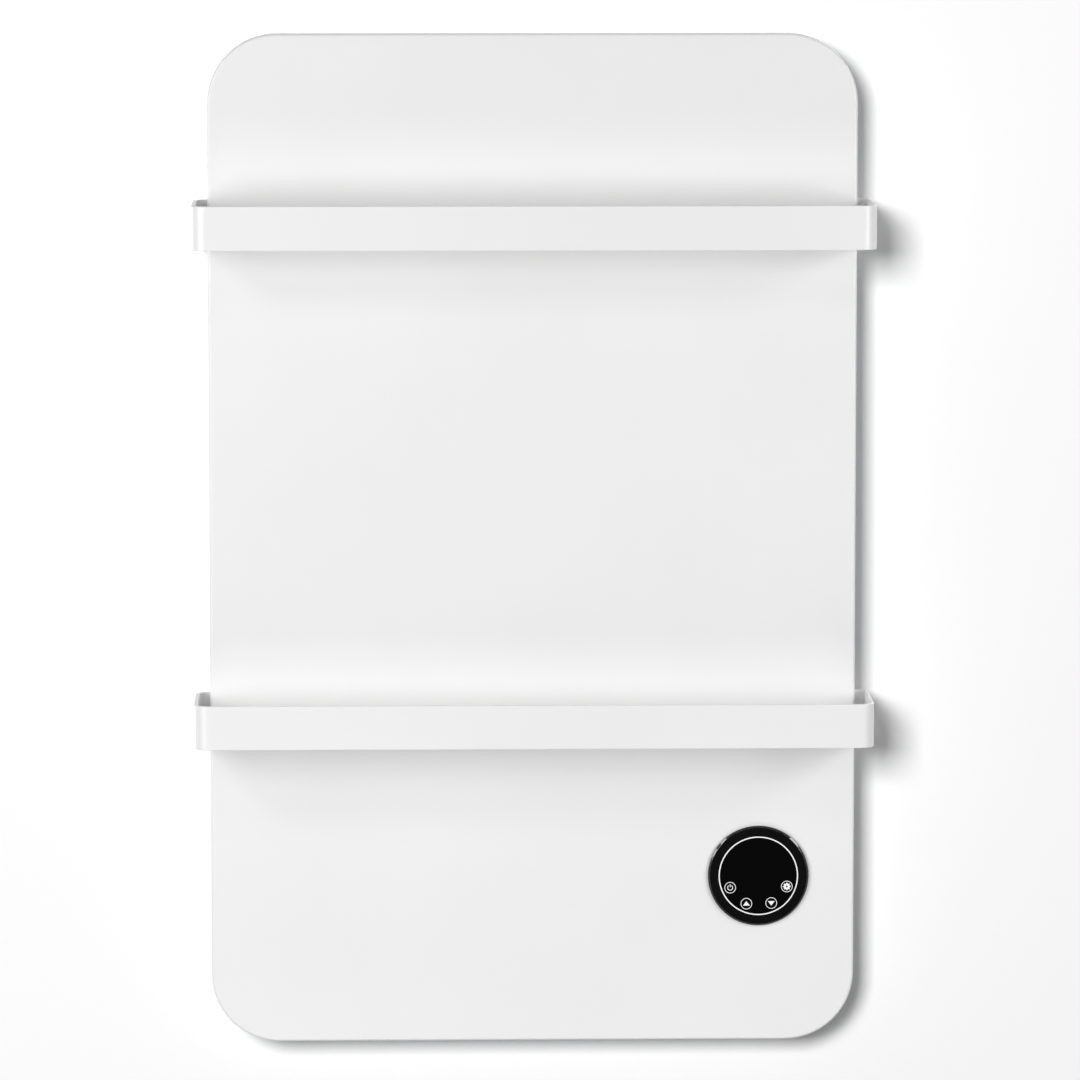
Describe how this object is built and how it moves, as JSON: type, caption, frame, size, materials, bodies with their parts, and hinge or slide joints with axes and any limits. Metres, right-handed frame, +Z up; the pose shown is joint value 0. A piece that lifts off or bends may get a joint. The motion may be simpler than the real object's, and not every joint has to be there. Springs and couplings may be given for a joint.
{
  "type": "infrared panel heater",
  "caption": "Flat wall-hung infrared panel heater with rounded corners, flat strip towel bars across its front and a round touch control low on the right.",
  "frame": {"origin": "on the wall, at the centre of the four wall-screw holes, which is also the middle of the panel's height and width", "axes": "+Z up, +Y into the wall, -Y out of the panel's heated front face, +X to the right seen from the front"},
  "size_m": [0.6, 0.12, 0.9],
  "materials": {
    "rail_zinc": "zinc-plated folded steel",
    "panel_powder_coat": "fine matt white powder coat on sheet steel",
    "bar_powder_coat": "fine matt white powder coat on bent steel strip",
    "galvanised_steel": "galvanised sheet with a faint spangle",
    "stiffener_steel": "galvanised folded steel",
    "hanger_steel": "zinc-plated folded steel",
    "rivet_aluminium": "bare aluminium",
    "screw_steel": "zinc-plated",
    "spring_steel": "bright spring steel",
    "film_black": "carbon-loaded heating film",
    "copper": "bare copper strip",
    "foil": "bright aluminium foil",
    "mineral_wool": "pressed mineral wool",
    "grey_rubber": "moulded rubber",
    "gasket_silicone": "black silicone",
    "bezel_black": "polished black rim",
    "control_glass": "black printed glass with a white ring and four touch symbols",
    "nut_nylon": "glass-filled nylon",
    "light_guide_clear": "milky clear acrylic",
    "board_green": "solder-resist green",
    "module_black": "moulded epoxy",
    "ribbon_grey": "flat cable",
    "box_white": "fine-textured flame-retardant plastic",
    "relay_blue": "moulded relay case",
    "capacitor_blue": "sleeved and boxed capacitors",
    "terminal_green": "moulded polyamide",
    "gland_grey": "moulded polyamide",
    "switch_black": "moulded switch frame",
    "rocker_black": "moulded rocker with white on and off marks",
    "brass": "bare brass",
    "cutout_brown": "phenolic",
    "lead_silicone": "silicone-sheathed lead",
    "sensor_lead_red": "silicone-sheathed lead",
    "earth_green": "green and yellow sheathed lead with a plated ring tag"
  },
  "bodies": {
    "wall_mount": {"upper_wall_rail": "rail_zinc", "lower_wall_rail": "rail_zinc"},
    "heater": {"front_panel": "panel_powder_coat", "rear_cover": "galvanised_steel", "rear_cover_screws": "screw_steel", "heating_film": "film_black", "bus_bars": "copper", "reflector_foil": "foil", "insulation_board": "mineral_wool", "upper_stiffener": "stiffener_steel", "lower_stiffener": "stiffener_steel", "bar_backing_plates": "stiffener_steel", "upper_hanger": "hanger_steel", "lower_hanger": "hanger_steel", "hanger_rivets": "rivet_aluminium", "upper_towel_bar": "bar_powder_coat", "lower_towel_bar": "bar_powder_coat", "towel_bar_screws": "screw_steel", "wall_buffers": "grey_rubber", "display_gasket": "gasket_silicone", "display_bezel": "bezel_black", "display_glass": "control_glass", "bezel_nut": "nut_nylon", "light_guide": "light_guide_clear", "display_board": "board_green", "board_retainer": "spring_steel", "display_module": "module_black", "touch_springs": "spring_steel", "ribbon_cable": "ribbon_grey", "control_housing": "box_white", "housing_screws": "screw_steel", "control_cover": "box_white", "control_cover_screws": "screw_steel", "power_board": "board_green", "power_board_screws": "screw_steel", "relay": "relay_blue", "power_supply": "module_black", "capacitors": "capacitor_blue", "terminal_block": "terminal_green", "cable_gland": "gland_grey", "gland_locknut": "gland_grey", "switch_body": "switch_black", "switch_terminals": "brass", "thermal_cutout": "cutout_brown", "temperature_sensor": "module_black", "heater_leads": "lead_silicone", "sensor_leads": "sensor_lead_red", "earth_stud": "brass", "earth_lead": "earth_green"},
    "rocker": {"rocker": "rocker_black"}
  },
  "joints": [
    {"name": "lift_off", "type": "slide", "parent": "wall_mount", "child": "heater", "axis": [0, 0, 1], "range_m": [0, 0.017]},
    {"name": "mains_rocker", "type": "hinge", "parent": "heater", "child": "rocker", "pos_m": [0.2537, -0.018, -0.31], "axis": [0, -1, 0], "range_deg": [0, 24]}
  ]
}
